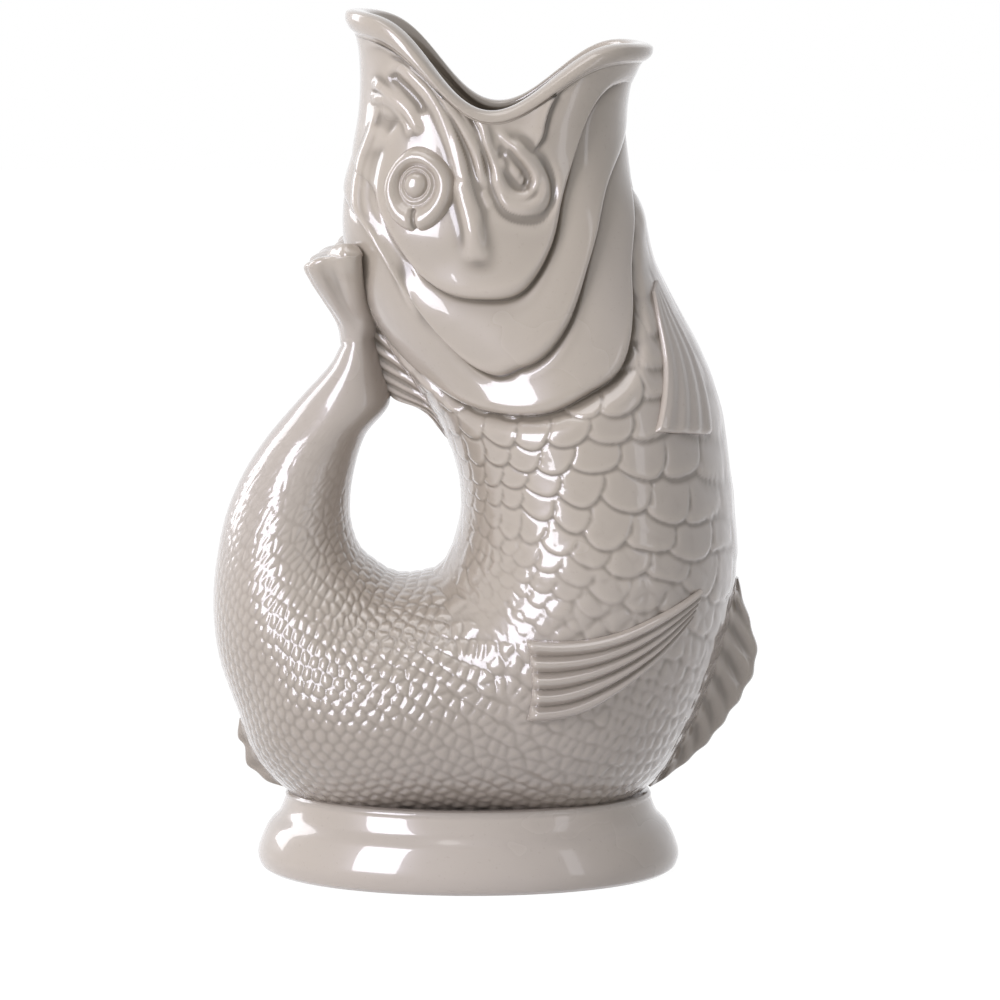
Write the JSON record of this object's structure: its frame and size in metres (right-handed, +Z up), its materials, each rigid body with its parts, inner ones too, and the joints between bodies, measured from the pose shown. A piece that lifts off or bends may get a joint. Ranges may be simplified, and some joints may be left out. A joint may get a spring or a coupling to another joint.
{
  "type": "gurgle jug",
  "caption": "Hollow glazed jug shaped as a leaping fish: its curled tail is the handle and its open mouth the spout; it stands on an oval foot.",
  "frame": {"origin": "middle of the oval foot, on the surface that the jug stands on", "axes": "+X from the handle towards the pouring lip along the length of the fish, +Y across its flanks, +Z up"},
  "size_m": [0.1517, 0.1018, 0.2402],
  "materials": {
    "glaze": "gloss"
  },
  "bodies": {
    "root": {"foot": "glaze", "belly": "glaze", "tail": "glaze", "tail_fin": "glaze", "head": "glaze", "lips": "glaze", "back_fin": "glaze", "belly_fin": "glaze", "rear_fin": "glaze", "side_fin_left": "glaze", "side_fin_right": "glaze", "throat_fin_left": "glaze", "throat_fin_right": "glaze", "eye_left": "glaze", "eye_right": "glaze", "brow_left": "glaze", "brow_right": "glaze", "mouth_fold_left": "glaze", "mouth_fold_right": "glaze"}
  },
  "joints": []
}
